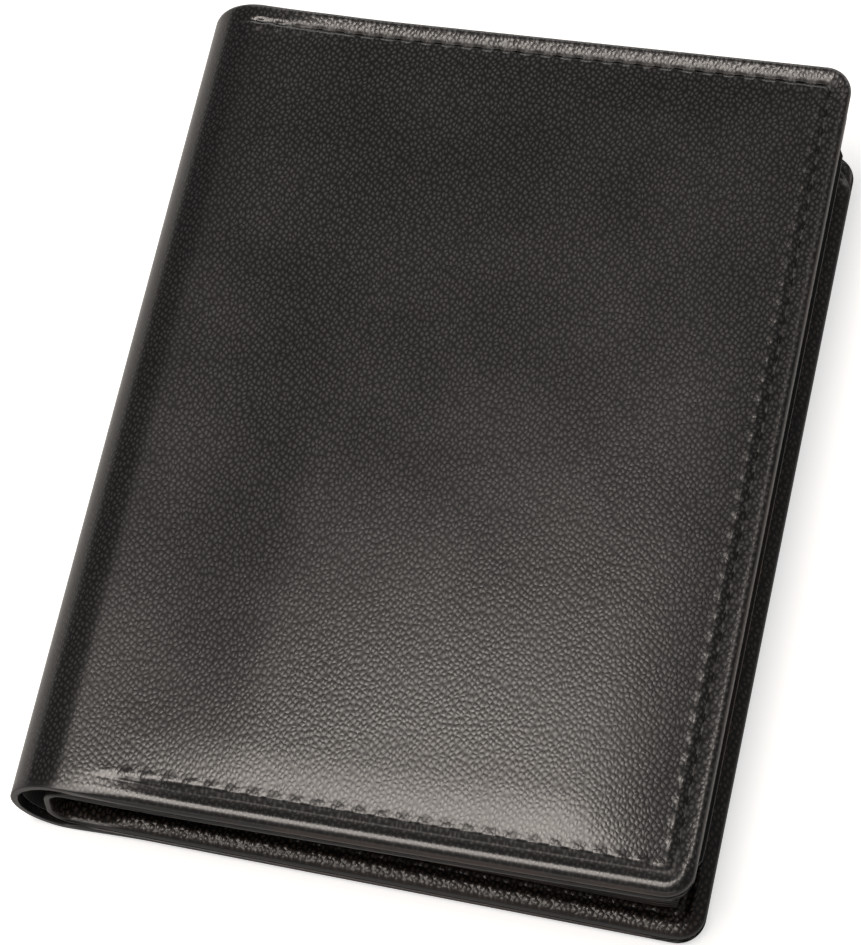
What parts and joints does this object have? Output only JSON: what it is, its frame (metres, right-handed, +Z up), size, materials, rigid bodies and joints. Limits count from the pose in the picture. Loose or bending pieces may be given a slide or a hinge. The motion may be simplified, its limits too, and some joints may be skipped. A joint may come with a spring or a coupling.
{
  "type": "vertical wallet",
  "caption": "Black leather vertical bifold wallet with a bill compartment, side-entry card slots and a swing leaf with a clear window.",
  "frame": {"origin": "under the middle of the closed wallet, on the surface that its back cover lies on", "axes": "+X from the spine to the opening side, +Y from the bottom edge to the top edge, +Z up through the closed wallet"},
  "size_m": [0.0958, 0.125, 0.0252],
  "materials": {
    "outer_leather": "fine-grained black nappa, soft sheen",
    "inner_leather": "fine-grained black nappa, matt",
    "painted_edge_leather": "smooth black leather with painted edge",
    "lining_textile": "plain black textile lining",
    "board": "fibre stiffener board",
    "thread": "black sewing thread",
    "clear_film": "clear soft plastic film"
  },
  "bodies": {
    "back_leaf": {"back_cover": "outer_leather", "back_board": "board", "back_lining": "lining_textile", "bill_wall_back": "painted_edge_leather", "back_card_base": "inner_leather", "back_card_slot_1": "inner_leather", "back_card_slot_2": "inner_leather", "back_card_slot_3": "inner_leather", "back_stitching": "thread", "swing_hinge_strip": "inner_leather"},
    "spine": {"spine_leather": "outer_leather", "spine_lining": "lining_textile", "bill_wall_fold": "painted_edge_leather"},
    "front_leaf": {"front_cover": "outer_leather", "front_board": "board", "front_lining": "lining_textile", "front_card_base": "inner_leather", "front_card_slot_1": "inner_leather", "front_card_slot_2": "inner_leather", "front_stitching": "thread", "bill_wall_front": "painted_edge_leather"},
    "swing_leaf": {"swing_core": "inner_leather", "swing_card_slot": "inner_leather", "swing_window_frame": "inner_leather", "swing_window_film": "clear_film"}
  },
  "joints": [
    {"name": "spine_fold_back", "type": "hinge", "parent": "back_leaf", "child": "spine", "pos_m": [-0.04566, 0, 0.00224], "axis": [0, -1, 0], "range_deg": [0, 86], "deforming": ["spine_leather", "spine_lining", "bill_wall_fold"]},
    {"name": "spine_fold_front", "type": "hinge", "parent": "spine", "child": "front_leaf", "pos_m": [-0.04566, 0, 0.01306], "axis": [0, -1, 0], "range_deg": [0, 86]},
    {"name": "swing_leaf_fold", "type": "hinge", "parent": "back_leaf", "child": "swing_leaf", "pos_m": [-0.0353, 0, 0.00745], "axis": [0, -1, 0], "range_deg": [0, 86]}
  ],
  "couplings": [
    {"joint": "spine_fold_front", "follows": "spine_fold_back", "ratio": 1},
    {"joint": "swing_leaf_fold", "follows": "spine_fold_back", "ratio": 1}
  ]
}
